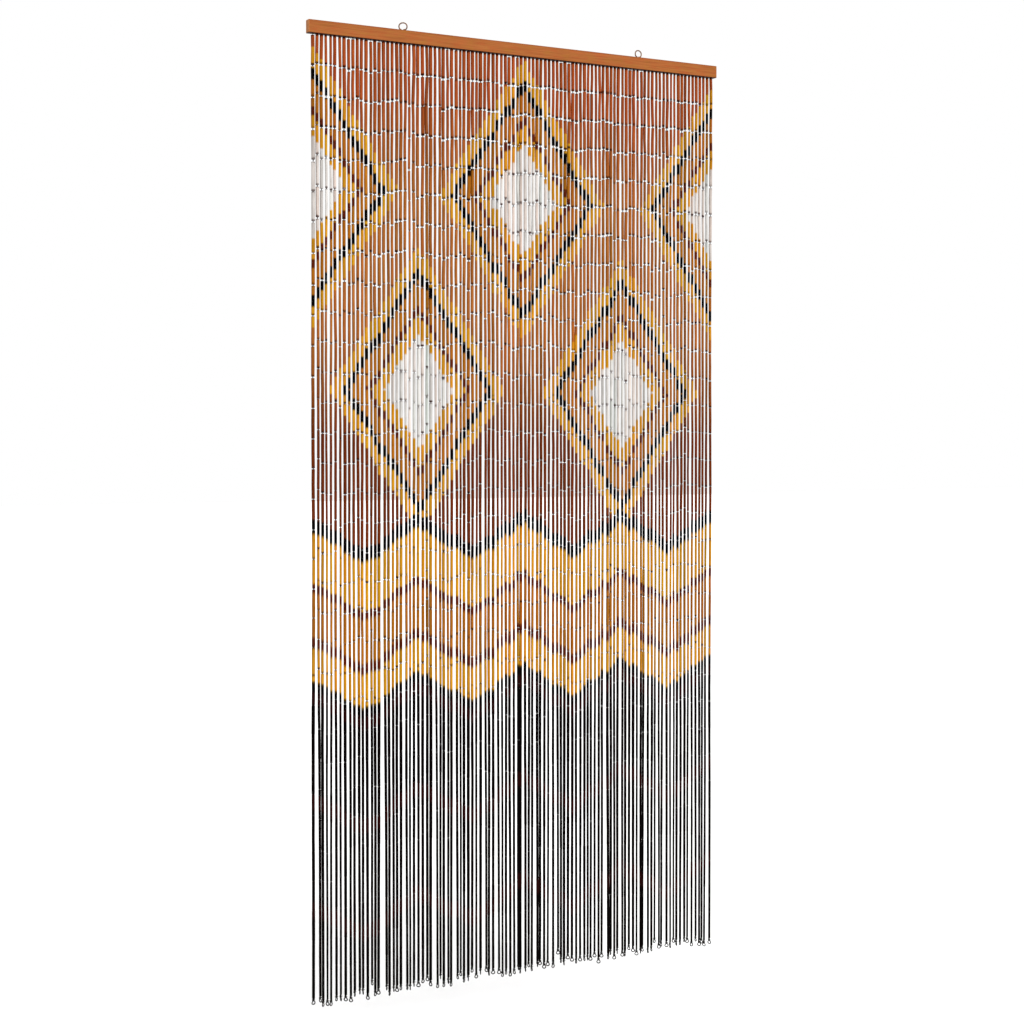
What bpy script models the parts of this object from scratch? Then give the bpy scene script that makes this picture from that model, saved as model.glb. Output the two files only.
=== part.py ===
"""Bamboo door curtain: a wooden hanging rail with two screw eyes and a hundred hanging bamboo strands.

Metres, +Z up. The origin is the middle of the rail's top face, with the front towards -Y.
Each strand is a chain of thin bamboo tubes on wire. Here it is one long tapered four-sided solid
that hangs, leans and ends as the chain does, and its root is fused into a narrow hanging strip.
"""

import math

import bmesh
import bpy
import numpy as np
from mathutils import Matrix, Vector

OBJECT_NAME = "bamboo_door_curtain"

# Gap that separate pieces keep to each other.
FIT_GAP = 0.0003

# The painted wooden rail.
RAIL_LENGTH = 1.000
RAIL_DEPTH = 0.015
RAIL_HEIGHT = 0.027
RAIL_EDGE_ROUND = 0.0012
RAIL_EDGE_STEPS = 2

# The two screw eyes on the rail, each a bent wire with a shank screwed into the wood. The ring's
# lower half is squarer than an ellipse, whose squareness is 2.
LEFT_EYE_X = -0.286
RIGHT_EYE_X = 0.293
EYE_OUTER_WIDTH = 0.0192
EYE_OUTER_HEIGHT = 0.0166
EYE_SQUARENESS = 3.0
EYE_WIRE = 0.0026
EYE_STANDS_OFF = 0.0004
EYE_SHANK_DEPTH = 0.012
EYE_RING_STEPS = 24
EYE_END_GAP_ANGLE = math.radians(20)
LEFT_EYE_TURN = math.radians(-25)
RIGHT_EYE_TURN = math.radians(5)
HOLE_SIDES = 16

# The strands, and the strip that carries them under the rail.
STRANDS = 100
STRAND_PITCH = 0.00987
STRIP_DEPTH = 0.005
STRIP_THICKNESS = 0.0012
STRIP_OVERHANG = 0.003
FOOT_Z = -1.998

# How far the roots are off an even spacing, and how far the feet swing from straight below them
# and hang off level.
ROOT_SEED = 23
ROOT_JITTER = 0.00035
ROOT_JITTER_LIMIT = 0.0008
SWAY_SEED = 65
SIDE_SWAY = 0.0021
DEPTH_SWAY = 0.0013
SWAY_LIMIT = 0.0048
SWAY_POWER = 1.8
FOOT_CLEARANCE = 0.0068
EASING_ROUNDS = 40
FOOT_JITTER = 0.0055
FOOT_JITTER_LIMIT = 0.0100
SHORT_STRANDS = {13: 0.020, 37: 0.014, 58: 0.024, 84: 0.016}

# One strand from its root down: where each section lies and how thick the strand is there.
# place is "top" for metres below the rail's underside and "foot" for metres above the foot.
STRAND_SECTIONS = (
    # place, distance, diameter
    ("top", 0.0008, 0.0016),
    ("top", 0.0024, 0.0016),
    ("top", 0.0030, 0.0070),
    ("top", 0.4500, 0.0066),
    ("top", 0.9500, 0.0061),
    ("top", 1.4500, 0.0059),
    ("foot", 0.0138, 0.0055),
    ("foot", 0.0124, 0.0036),
    ("foot", 0.0058, 0.0062),
    ("foot", 0.0000, 0.0026),
)


def clear_scene():
    """Empties the scene without closing the file it runs from."""
    for obj in list(bpy.data.objects):
        bpy.data.objects.remove(obj, do_unlink=True)


def collection(name, hidden=False):
    """A new collection in the scene, hidden from renders when it only holds tools."""
    made = bpy.data.collections.new(name)
    made.hide_render = hidden
    bpy.context.scene.collection.children.link(made)
    return made


def material(name, colour, roughness, metallic):
    """A Principled material from a linear colour, a roughness and a metallic value."""
    made = bpy.data.materials.new(name)
    made.use_nodes = True
    shader = made.node_tree.nodes["Principled BSDF"]
    shader.inputs["Base Color"].default_value = (*colour, 1.0)
    shader.inputs["Roughness"].default_value = roughness
    shader.inputs["Metallic"].default_value = metallic
    return made


def move_to(obj, home):
    """Puts the object in one collection and takes it out of all others."""
    for other in list(obj.users_collection):
        other.objects.unlink(obj)
    home.objects.link(obj)


def box(name, size, centre, home):
    """A box with its size in its mesh, so that a Bevel keeps an even width."""
    bpy.ops.mesh.primitive_cube_add(size=1.0, location=centre)
    made = bpy.context.object
    made.name = name
    made.data.transform(Matrix.Diagonal((*size, 1.0)))
    move_to(made, home)
    return made


def make_tool(obj):
    """Marks a cutter or a joined-in helper, which isn't a piece of its own."""
    obj.hide_render = True
    obj.display_type = "WIRE"


def boolean(obj, tool, operation):
    """Adds an exact Boolean, which stays on the object."""
    step = obj.modifiers.new(f"{operation.lower()}_{tool.name}", "BOOLEAN")
    step.operation = operation
    step.solver = "EXACT"
    step.object = tool


def wire_object(name, splines, bevel_depth, bevel_resolution, home):
    """A curve object of straight-jointed splines, each a list of (point, radius scale, tilt)."""
    curve = bpy.data.curves.new(name, "CURVE")
    curve.dimensions = "3D"
    curve.bevel_depth = bevel_depth
    curve.bevel_resolution = bevel_resolution
    curve.use_fill_caps = True
    for points in splines:
        spline = curve.splines.new("POLY")
        spline.points.add(len(points) - 1)
        for slot, (place, scale, tilt) in zip(spline.points, points):
            slot.co = (*place, 1.0)
            slot.radius = scale
            slot.tilt = tilt
    made = bpy.data.objects.new(name, curve)
    home.objects.link(made)
    return made


def mesh_from_curve(curve_object, home):
    """The curve's tube as a mesh object with its caps welded on, in place of the curve."""
    graph = bpy.context.evaluated_depsgraph_get()
    mesh = bpy.data.meshes.new_from_object(curve_object.evaluated_get(graph))
    weld(mesh)
    name = curve_object.name
    place = curve_object.matrix_world.copy()
    bpy.data.objects.remove(curve_object, do_unlink=True)
    made = bpy.data.objects.new(name, mesh)
    made.matrix_world = place
    home.objects.link(made)
    return made


def weld(mesh):
    """Joins the points that lie on each other, such as where a tube's caps meet its wall."""
    work = bmesh.new()
    work.from_mesh(mesh)
    bmesh.ops.remove_doubles(work, verts=work.verts, dist=0.00001)
    bmesh.ops.recalc_face_normals(work, faces=work.faces)
    work.to_mesh(mesh)
    work.free()


def build_rail(home, tools):
    """The wooden bar with softly rounded edges and a drilled hole under each eye."""
    centre = (0.0, 0.0, -RAIL_HEIGHT / 2)
    rail = box("rail", (RAIL_LENGTH, RAIL_DEPTH, RAIL_HEIGHT), centre, home)
    rounding = rail.modifiers.new("rounded_edges", "BEVEL")
    rounding.width = RAIL_EDGE_ROUND
    rounding.segments = RAIL_EDGE_STEPS
    rounding.limit_method = "ANGLE"
    hole_depth = EYE_SHANK_DEPTH + FIT_GAP
    for side, x in (("left", LEFT_EYE_X), ("right", RIGHT_EYE_X)):
        bpy.ops.mesh.primitive_cylinder_add(
            vertices=HOLE_SIDES,
            radius=(EYE_WIRE / 2 + FIT_GAP) / math.cos(math.pi / HOLE_SIDES),
            depth=2 * hole_depth,
            location=(x, 0.0, 0.0),
        )
        drill = bpy.context.object
        drill.name = f"drill_{side}"
        make_tool(drill)
        move_to(drill, tools)
        boolean(rail, drill, "DIFFERENCE")
    return rail


def eye_path():
    """The screw eye's wire: up the shank, then once round the ring to just short of the shank."""
    half_width = (EYE_OUTER_WIDTH - EYE_WIRE) / 2
    half_height = (EYE_OUTER_HEIGHT - EYE_WIRE) / 2
    centre_z = EYE_STANDS_OFF + EYE_WIRE / 2 + half_height
    start = Vector((0.0, 0.0, -EYE_SHANK_DEPTH))
    throat = Vector((0.0, 0.0, EYE_STANDS_OFF))
    full_turn = 2 * math.pi - EYE_END_GAP_ANGLE
    path = [start, throat]
    for step in range(EYE_RING_STEPS + 1):
        angle = EYE_END_GAP_ANGLE / 4 + full_turn * step / EYE_RING_STEPS
        power = 2 / EYE_SQUARENESS if math.cos(angle) > 0 else 1.0
        sideways = math.copysign(abs(math.sin(angle)) ** power, math.sin(angle))
        downwards = math.copysign(abs(math.cos(angle)) ** power, math.cos(angle))
        path.append(Vector((half_width * sideways, 0.0, centre_z - half_height * downwards)))
    return path


def build_eye(side, x, turn, home):
    """One screw eye of bent wire, turned about its own shank."""
    points = [(place, 1.0, 0.0) for place in eye_path()]
    eye = wire_object(f"screw_eye_{side}", [points], EYE_WIRE / 2, 2, home)
    eye.location = (x, 0.0, 0.0)
    eye.rotation_euler = (0.0, 0.0, turn)
    return eye


def strand_roots():
    """Where each strand leaves the rail: about evenly along it, and centred."""
    off = np.random.default_rng(ROOT_SEED).normal(0.0, ROOT_JITTER, STRANDS)
    even = (np.arange(STRANDS) - (STRANDS - 1) / 2) * STRAND_PITCH
    return even + off.clip(-ROOT_JITTER_LIMIT, ROOT_JITTER_LIMIT)


def strand_feet():
    """Each foot's x, y and z: the roots with a random swing, and neighbours eased apart."""
    random = np.random.default_rng(SWAY_SEED)
    swing = random.normal(0.0, (SIDE_SWAY, DEPTH_SWAY), (STRANDS, 2))
    feet = np.clip(swing, -SWAY_LIMIT, SWAY_LIMIT)
    feet[:, 0] += strand_roots()
    for _ in range(EASING_ROUNDS):
        for left, right in zip(feet, feet[1:]):
            apart = right - left
            distance = math.hypot(*apart)
            if distance < FOOT_CLEARANCE:
                push = apart / distance * (FOOT_CLEARANCE - distance) / 2
                left -= push
                right += push
    drop = random.normal(0.0, FOOT_JITTER, STRANDS).clip(-FOOT_JITTER_LIMIT, FOOT_JITTER_LIMIT)
    for strand, shorter_by in SHORT_STRANDS.items():
        drop[strand] = shorter_by
    return np.column_stack([feet, FOOT_Z + drop])


def strand_points(root_x, foot):
    """One strand's sections as (place, radius, tilt), leaning more the lower it hangs.

    A steep curve turns its section to the side it leans to, and the tilt turns a corner back to
    the front, so that every strand is as wide as its tubes from the front and from the side.
    """
    underside = -RAIL_HEIGHT
    tilt = math.atan2(foot[1], foot[0] - root_x)
    points = []
    for anchor, distance, diameter in STRAND_SECTIONS:
        z = underside - distance if anchor == "top" else foot[2] + distance
        hung = ((underside - z) / (underside - foot[2])) ** SWAY_POWER
        place = (root_x + hung * (foot[0] - root_x), hung * foot[1], z)
        points.append((place, diameter / 2, tilt))
    return points


def build_strands(home, tools):
    """The hanging strip with all the strands fused into its underside."""
    feet = strand_feet()
    splines = [strand_points(x, foot) for x, foot in zip(strand_roots(), feet)]
    # The bevel is one metre, so that a point's radius is the strand's own radius there.
    curve = wire_object("hanging_strands", splines, 1.0, 0, tools)
    hanging = mesh_from_curve(curve, tools)
    make_tool(hanging)
    length = STRAND_PITCH * (STRANDS - 1) + 2 * STRIP_OVERHANG
    centre = (0.0, 0.0, -RAIL_HEIGHT - FIT_GAP - STRIP_THICKNESS / 2)
    strands = box("strands", (length, STRIP_DEPTH, STRIP_THICKNESS), centre, home)
    boolean(strands, hanging, "UNION")
    return strands


def shade(obj, made_of):
    """Gives the piece its material, and smooth shading where it is round."""
    obj.data.materials.clear()
    obj.data.materials.append(made_of)
    if obj.type == "MESH":
        obj.data.shade_smooth()
        obj.data.set_sharp_from_angle(angle=math.radians(40))


def build():
    """The whole curtain in one collection, with its cutters in another."""
    clear_scene()
    home = collection(OBJECT_NAME)
    tools = collection("tools", hidden=True)
    rail = build_rail(home, tools)
    eyes = (
        build_eye("left", LEFT_EYE_X, LEFT_EYE_TURN, home),
        build_eye("right", RIGHT_EYE_X, RIGHT_EYE_TURN, home),
    )
    strands = build_strands(home, tools)
    shade(rail, material("painted_wood", (0.49, 0.15, 0.04), 0.5, 0.0))
    shade(strands, material("painted_bamboo", (0.30, 0.08, 0.02), 0.6, 0.0))
    steel = material("steel_wire", (0.30, 0.20, 0.12), 0.35, 1.0)
    for eye in eyes:
        shade(eye, steel)


build()
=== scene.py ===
# %% [markdown]
# # A bamboo door curtain
#
# The real thing is a painted wooden rail that hangs on two screw eyes. A hundred strands hang from
# it, each a chain of thin bamboo tubes. A piece of wire runs through every tube and ends in a small
# eye, and the eyes of neighbouring tubes are hooked into each other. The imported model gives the
# rail, the eyes and one plain rod for each strand. This lesson dresses it: it keeps the rail, and
# puts real tubes, wires and rings where the rods are.

import math

import bpy
import numpy as np
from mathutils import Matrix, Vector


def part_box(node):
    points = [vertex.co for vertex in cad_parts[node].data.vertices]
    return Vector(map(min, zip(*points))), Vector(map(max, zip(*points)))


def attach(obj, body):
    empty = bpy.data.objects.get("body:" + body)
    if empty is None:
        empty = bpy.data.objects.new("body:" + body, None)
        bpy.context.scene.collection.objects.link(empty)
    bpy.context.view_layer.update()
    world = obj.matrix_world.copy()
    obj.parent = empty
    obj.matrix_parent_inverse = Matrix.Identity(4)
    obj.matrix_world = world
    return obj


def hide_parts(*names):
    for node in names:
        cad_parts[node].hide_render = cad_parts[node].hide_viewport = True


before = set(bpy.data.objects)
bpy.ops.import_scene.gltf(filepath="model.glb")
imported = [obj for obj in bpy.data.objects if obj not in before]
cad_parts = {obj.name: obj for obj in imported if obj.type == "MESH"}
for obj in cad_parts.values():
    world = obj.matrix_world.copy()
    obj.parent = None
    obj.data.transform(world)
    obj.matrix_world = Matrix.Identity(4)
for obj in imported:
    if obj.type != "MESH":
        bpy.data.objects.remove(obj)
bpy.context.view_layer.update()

# %% [markdown]
# ## Where the camera stands
#
# The photograph was taken from the left of the curtain and from a little above its middle, with a
# fairly long lens. A camera could be placed by eye, but here its place comes from a fit to the
# rail's corners and the outer strands' feet, which also gives the small shift of the frame.

# %% Camera
CAMERA_PLACE = (-1.992, -3.5335, -0.8396)
CAMERA_TURN = math.radians(29.07)
CAMERA_DIP = math.radians(-1.13)
FOCAL_LENGTH = 66.2
SENSOR_WIDTH = 36.0
FRAME_SHIFT = -0.038

lens = bpy.data.cameras.new("photo_camera")
lens.lens = FOCAL_LENGTH
lens.sensor_width = SENSOR_WIDTH
lens.shift_y = FRAME_SHIFT
camera = bpy.data.objects.new("photo_camera", lens)
camera.location = CAMERA_PLACE
camera.rotation_euler = (math.pi / 2 + CAMERA_DIP, 0.0, -CAMERA_TURN)
bpy.context.scene.collection.objects.link(camera)
bpy.context.scene.camera = camera
print("the camera stands %.2f m from the rail's middle" % math.dist(CAMERA_PLACE, (0, 0, 0)))

# %% [markdown]
# ## Surfaces as grids of points
#
# Every piece below is a grid: its points are numbered along a path and round it, and each small
# face joins four neighbours. The grid can close on itself in either direction, which makes a rod
# or a ring. The same numbers give every face a place in a flat square, and that square is what a
# colour map is painted on. A hundred copies get a hundred small squares, side by side like stamps
# on a sheet, so that no two share a spot.

# %% Faces of a grid
def grid_faces(row_levels, column_levels, rows_close, columns_close):
    """Four-sided faces of a grid, and where each corner lies in the unit square.

    Face (i, j) joins points (i, j), (i, j+1), (i+1, j+1) and (i+1, j), and point (i, j) has number
    i * columns + j. The levels say how high or how far across the square each row or column of
    points lies. Where the grid closes on itself there is one level more than there are points.
    """
    rows = len(row_levels) - rows_close
    columns = len(column_levels) - columns_close
    i, j = np.meshgrid(np.arange(len(row_levels) - 1), np.arange(len(column_levels) - 1), indexing="ij")
    corner_i = np.stack([i, i, i + 1, i + 1], -1).reshape(-1, 4)
    corner_j = np.stack([j, j + 1, j + 1, j], -1).reshape(-1, 4)
    faces = corner_i % rows * columns + corner_j % columns
    square = np.stack([np.asarray(column_levels)[corner_j], np.asarray(row_levels)[corner_i]], -1)
    return faces, square


CELL_MARGIN = 0.08


def sheet_of_cells(square, across, up):
    """Copies of the unit square in a sheet of across by up cells, each a little inside its cell.

    Cell n lies in column n mod across and row n div across, and a corner's place is the cell's
    place plus the corner's place in the square, divided by the number of cells.
    """
    cell = np.arange(across * up)
    place = np.stack([cell % across, cell // across], -1)[:, None, None]
    inset = CELL_MARGIN / 2 + square * (1 - CELL_MARGIN)
    return (place + inset) / np.array([across, up])


# %% From grids to a piece
SHARP_ANGLE = math.radians(42)


def make_piece(name, points, faces, square, sheet, finish, slot, stands_for):
    """One mesh object of many copies of a grid. points is (copies, points, 3), sheet (across, up)."""
    copies, count = points.shape[:2]
    corners = (faces + count * np.arange(copies)[:, None, None]).reshape(-1)
    mesh = bpy.data.meshes.new(name)
    mesh.vertices.add(copies * count)
    mesh.vertices.foreach_set("co", points.astype(np.float32).reshape(-1))
    mesh.loops.add(corners.size)
    mesh.loops.foreach_set("vertex_index", corners.astype(np.int32))
    mesh.polygons.add(corners.size // 4)
    mesh.polygons.foreach_set("loop_start", np.arange(0, corners.size, 4, dtype=np.int32))
    mesh.update(calc_edges=True)
    flat = mesh.uv_layers.new(name="OFBake")
    flat.uv.foreach_set("vector", sheet_of_cells(square, *sheet).astype(np.float32).reshape(-1))
    mesh.shade_smooth()
    mesh.set_sharp_from_angle(angle=SHARP_ANGLE)
    mesh.materials.append(finish)
    piece = bpy.data.objects.new(name, mesh)
    bpy.context.scene.collection.objects.link(piece)
    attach(piece, "root")
    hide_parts(*stands_for)
    print(name, "has", copies, "copies and", 2 * len(mesh.polygons), "triangles")
    return piece


def point_values(piece, name, values):
    """Keeps three numbers with every point of a piece, for its material to read."""
    kept = piece.data.attributes.new(name, "FLOAT_VECTOR", "POINT")
    kept.data.foreach_set("vector", values.astype(np.float32).reshape(-1))


# %% [markdown]
# ## A circle carried along a path
#
# Wire, tubes and rings are all one idea: a circle that travels along a path and changes its size
# on the way. Blender's curves do this too, but with our own numbers the circle's turn is known at
# every step, thousands of copies are worked out at once, and a tube's wall, cut end and bore can
# be one closed skin.

# %% Carried circles
def unit(vectors):
    """Vectors divided by their own length."""
    return vectors / np.linalg.norm(vectors, axis=-1, keepdims=True)


def directions(path):
    """The way a path runs at each point: halfway between the steps before it and after it."""
    step = unit(np.diff(path, axis=1))
    return unit(np.concatenate([step[:, :1], step[:, :-1] + step[:, 1:], step[:, -1:]], axis=1))


def carried_circles(path, direction, side, radius, sides):
    """Points of circles along paths: path + radius * (cos(a) * side + sin(a) * across).

    across is direction x side, and a runs round the circle in equal steps. path, direction and
    side are (copies, steps, 3), and radius is (copies, steps) or (copies, steps, sides).
    """
    side = unit(side - (side * direction).sum(-1, keepdims=True) * direction)
    across = np.cross(direction, side)
    angle = 2 * np.pi * np.arange(sides) / sides
    circle = np.cos(angle)[:, None] * side[:, :, None] + np.sin(angle)[:, None] * across[:, :, None]
    radius = np.broadcast_to(radius if np.ndim(radius) == 3 else np.asarray(radius)[..., None],
                             circle.shape[:3])
    return path[:, :, None] + radius[..., None] * circle


WIRE_STRIP = 0.86
CAP_CENTRES = ((0.06, 0.94), (0.20, 0.94))
CAP_SIZE = 0.04


def wire_faces(steps, sides):
    """Faces of a wire that is closed round about and has a flat cap at each end.

    A cap is a ladder of four-sided faces from one side of the circle to the other: rung k joins
    points k, k+1, sides-2-k and sides-1-k.
    """
    faces, square = grid_faces(
        np.linspace(0, WIRE_STRIP, steps), np.linspace(0, 1, sides + 1), False, True
    )
    rung = np.arange(sides // 2 - 1)
    ladder = np.stack([rung, rung + 1, sides - 2 - rung, sides - 1 - rung], -1)
    angle = 2 * np.pi * ladder / sides
    disc = CAP_SIZE * np.stack([np.cos(angle), np.sin(angle)], -1)
    first, last = (np.array(centre) + disc for centre in CAP_CENTRES)
    faces = np.concatenate([faces, ladder[:, ::-1], ladder + (steps - 1) * sides])
    return faces, np.concatenate([square, first[:, ::-1], last])


def wires(path, side, radius, sides):
    """Points and faces of round wires along paths, ready for make_piece."""
    points = carried_circles(path, directions(path), side, radius, sides)
    faces, square = wire_faces(path.shape[1], sides)
    return points.reshape(len(points), -1, 3), faces, square


# %% [markdown]
# ## Small helpers for materials
#
# A finish is a net of nodes. These helpers only save typing: they make a node, set or link its
# inputs, and give back what comes out.

# %% Node helpers
def new_finish(name):
    """A material with its node tree and its Principled shader."""
    finish = bpy.data.materials.new(name)
    finish.use_nodes = True
    return finish, finish.node_tree, finish.node_tree.nodes["Principled BSDF"]


def node(tree, kind, inputs=(), **settings):
    """A node with its settings, its inputs linked to a socket or set to a value."""
    made = tree.nodes.new(kind)
    for name, value in settings.items():
        setattr(made, name, value)
    for name, value in dict(inputs).items():
        if isinstance(value, bpy.types.NodeSocket):
            tree.links.new(value, made.inputs[name])
        else:
            made.inputs[name].default_value = value
    return made


def maths(tree, operation, first, second=0.0):
    """The result of one sum."""
    return node(tree, "ShaderNodeMath", {0: first, 1: second}, operation=operation).outputs[0]


def rescaled(tree, value, low, high, to_low=0.0, to_high=1.0):
    """A value from low to high brought to the range to_low to to_high, and held inside it."""
    inputs = {"Value": value, "From Min": low, "From Max": high, "To Min": to_low, "To Max": to_high}
    return node(tree, "ShaderNodeMapRange", inputs).outputs[0]


def mixed(tree, share, first, second, how="MIX"):
    """Two colours mixed by a share from 0 to 1."""
    inputs = {0: share, 6: first, 7: second}
    return node(tree, "ShaderNodeMix", inputs, data_type="RGBA", blend_type=how).outputs[2]


def noise(tree, place, stretch, detail=3.0, roughness=0.55):
    """Noise from 0 to 1 whose grain is one over stretch metres along x, y and z."""
    moved = node(tree, "ShaderNodeMapping", {"Vector": place, "Scale": stretch}).outputs[0]
    inputs = {"Vector": moved, "Scale": 1.0, "Detail": detail, "Roughness": roughness}
    return node(tree, "ShaderNodeTexNoise", inputs).outputs[0]


def ramp(tree, value, stops):
    """A colour for each value from 0 to 1, blended between the stops (place, colour)."""
    made = node(tree, "ShaderNodeValToRGB", {"Fac": value})
    elements = made.color_ramp.elements
    elements[0].position, elements[1].position = 0.0, 1.0
    elements[0].color, elements[1].color = stops[0][1], stops[-1][1]
    for place, colour in stops[1:-1]:
        elements.new(place).color = colour
    return made.outputs[0]


def screen_colour(red, green, blue):
    """A colour given as the numbers 0 to 255 that a screen shows, as linear light with alpha."""
    shown = np.array([red, green, blue]) / 255
    return (*np.where(shown <= 0.04045, shown / 12.92, ((shown + 0.055) / 1.055) ** 2.4).tolist(), 1.0)


# %% [markdown]
# ## The rail's paint
#
# The rail is a planed bar with its edges softened, brushed with orange-brown paint thin enough for
# the grain to show. Hands and the wall have worn the corners and the left end paler. The underside
# and a thin line along the top front edge are painted dark as shade. The imported rail has the
# right shape, so it stays and only gets a finish.
# The finish asks each point where it is in the bar: close to two faces at once means an edge.

# %% Painted wood
RAIL_DEPTH = 0.015
RAIL_HEIGHT = 0.027
RAIL_LENGTH = 1.000

painted_wood, tree, shader = new_finish("painted_wood")
place = node(tree, "ShaderNodeTexCoord").outputs["Object"]
along, depth, height = node(tree, "ShaderNodeSeparateXYZ", {0: place}).outputs
grain = noise(tree, place, (14, 700, 700), 5.0, 0.6)
blotches = noise(tree, place, (34, 110, 110), 3.0)
paint = ramp(tree, rescaled(tree, grain, 0.25, 0.75), [
    (0.0, screen_colour(112, 60, 28)),
    (0.45, screen_colour(135, 77, 37)),
    (1.0, screen_colour(147, 88, 45)),
])
reddened = mixed(tree, 1.0, paint, (1.06, 0.86, 0.84, 1.0), "MULTIPLY")
paint = mixed(tree, rescaled(tree, blotches, 0.50, 0.66, 0.0, 0.85), paint, reddened)
ochre = mixed(tree, 1.0, paint, (0.98, 1.10, 0.86, 1.0), "MULTIPLY")
paint = mixed(tree, rescaled(tree, blotches, 0.48, 0.34, 0.0, 0.85), paint, ochre)

# %% Worn edges, and painted shade on the top front edge and the underside
CHIP_DEPTH = 0.0034
WORN_WIDTH = (0.0026, 0.0016)
EDGE_BELOW_TOP = (-0.0034, -0.0010)
EDGE_AT_FRONT = (-0.0060, -0.0072)
LEFT_END = (-0.4982, -0.4992)
UNDERSIDE_SHADE = (-0.0256, -0.0264)

from_side = maths(tree, "SUBTRACT", RAIL_DEPTH / 2, maths(tree, "ABSOLUTE", depth))
from_middle = maths(tree, "ABSOLUTE", maths(tree, "ADD", height, RAIL_HEIGHT / 2))
from_top = maths(tree, "SUBTRACT", RAIL_HEIGHT / 2, from_middle)
from_end = maths(tree, "SUBTRACT", RAIL_LENGTH / 2, maths(tree, "ABSOLUTE", along))
edge = maths(tree, "ADD", from_side, from_top)
edge = maths(tree, "MINIMUM", edge, maths(tree, "ADD", from_end, from_side))
edge = maths(tree, "MINIMUM", edge, maths(tree, "ADD", from_end, from_top))
chips = maths(tree, "MULTIPLY", noise(tree, place, (160, 400, 400)), CHIP_DEPTH)
worn = rescaled(tree, maths(tree, "ADD", edge, chips), *WORN_WIDTH)
bare_grain = rescaled(tree, grain, 0.3, 0.7)
bare_wood = mixed(tree, bare_grain, screen_colour(168, 118, 76), screen_colour(192, 144, 98))
# Painted shade: a dark line along the top front edge, where the rounded edge turns from the light.
near_top = rescaled(tree, height, *EDGE_BELOW_TOP)
near_front = rescaled(tree, depth, *EDGE_AT_FRONT)
top_edge_shade = maths(tree, "MULTIPLY", near_top, near_front)
paint = mixed(tree, maths(tree, "MULTIPLY", top_edge_shade, 0.6), paint, screen_colour(110, 56, 26))
paint = mixed(tree, maths(tree, "MULTIPLY", worn, 0.35), paint, bare_wood)
left_end = rescaled(tree, along, *LEFT_END)
end_wear = maths(tree, "MULTIPLY", left_end, rescaled(tree, blotches, 0.35, 0.6, 0.15, 0.45))
paint = mixed(tree, end_wear, paint, bare_wood)
# Painted shade: the underside is painted near black, as the shade under the rail.
underside_shade = rescaled(tree, height, *UNDERSIDE_SHADE)
paint = mixed(tree, underside_shade, paint, screen_colour(36, 9, 5))
tree.links.new(paint, shader.inputs["Base Color"])
gloss = rescaled(tree, grain, 0.2, 0.8, 0.62, 0.42)
tree.links.new(gloss, shader.inputs["Roughness"])
shader.inputs["Specular IOR Level"].default_value = 0.04
relief = node(tree, "ShaderNodeBump", {"Height": grain, "Strength": 0.35, "Distance": 0.0002})
tree.links.new(relief.outputs[0], shader.inputs["Normal"])

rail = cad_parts["rail"]
rail.data.materials.clear()
rail.data.materials.append(painted_wood)
rail_low, rail_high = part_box("rail")
print("the rail is", [round(high - low, 4) for low, high in zip(rail_low, rail_high)])

# %% [markdown]
# ## The wire's finish
#
# All wire here is plated steel that has gone brown and grey. Metal gets most of its colour from
# what it mirrors, so one colour looks like plastic: the finish breaks up both the colour and the
# shine, with dull brown spots where the plating has gone. The screw eyes are the lightest, the thin
# wire between the tubes is brown with rust, and the rings at the feet are nearly black and dull.

# %% Steel wire in three ages
def wire_finish(name, bright, dull, dull_share, metal):
    """Aged plated wire: bright metal with dull brown spots over a share of it."""
    finish, tree, shader = new_finish(name)
    place = node(tree, "ShaderNodeTexCoord").outputs["Object"]
    spots = noise(tree, place, (420, 420, 420), 4.0, 0.65)
    fine = noise(tree, place, (2600, 2600, 2600), 2.0)
    aged = rescaled(tree, spots, 0.62 - dull_share / 2, 0.72 - dull_share / 2)
    colour = mixed(tree, aged, bright, dull)
    colour = mixed(tree, rescaled(tree, fine, 0.3, 0.7, 0.0, 0.35), colour, dull)
    tree.links.new(colour, shader.inputs["Base Color"])
    tree.links.new(rescaled(tree, aged, 0.0, 1.0, 0.30, 0.62), shader.inputs["Roughness"])
    shader.inputs["Metallic"].default_value = metal
    shader.inputs["Specular IOR Level"].default_value = 0.15
    pits = node(tree, "ShaderNodeBump", {"Height": fine, "Strength": 0.35, "Distance": 0.0001})
    tree.links.new(pits.outputs[0], shader.inputs["Normal"])
    return finish


eye_steel = wire_finish(
    "screw_eye_steel", screen_colour(150, 116, 90), screen_colour(92, 62, 44), 0.35, 0.9
)
link_steel = wire_finish("strand_wire", screen_colour(74, 56, 44), screen_colour(18, 11, 9), 0.6, 0.6)
ring_steel = wire_finish("foot_ring_wire", screen_colour(30, 21, 16), screen_colour(9, 5, 4), 0.7, 0.0)
print("wire finishes", eye_steel.name, link_steel.name, ring_steel.name)

# %% [markdown]
# ## The two screw eyes
#
# A screw eye is one piece of wire: a threaded shank that goes into the wood, and a ring that ends
# just short of the shank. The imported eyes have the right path, but only a few sides. Here the same
# path carries a rounder wire, and a spiral ridge on the shank makes the thread.

# %% Screw eyes
EYE_WIRE = 0.0026
EYE_OUTER_WIDTH = 0.0192
EYE_OUTER_HEIGHT = 0.0166
EYE_SQUARENESS = 3.0
EYE_STANDS_OFF = 0.0004
EYE_SHANK_DEPTH = 0.012
EYE_END_GAP = math.radians(20)
EYES = {"left": (-0.286, math.radians(-25)), "right": (0.293, math.radians(5))}
EYE_SIDES = 16
THREAD_PITCH = 0.0016
THREAD_DEPTH = 0.0003
THREAD_STOPS = -0.0015
SHANK_STOPS_SHORT = 0.0006
SHANK_STEPS = 54
EYE_STEPS = 61
TIP_LENGTH = 0.003
TIP_SHARE = 0.25


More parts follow.
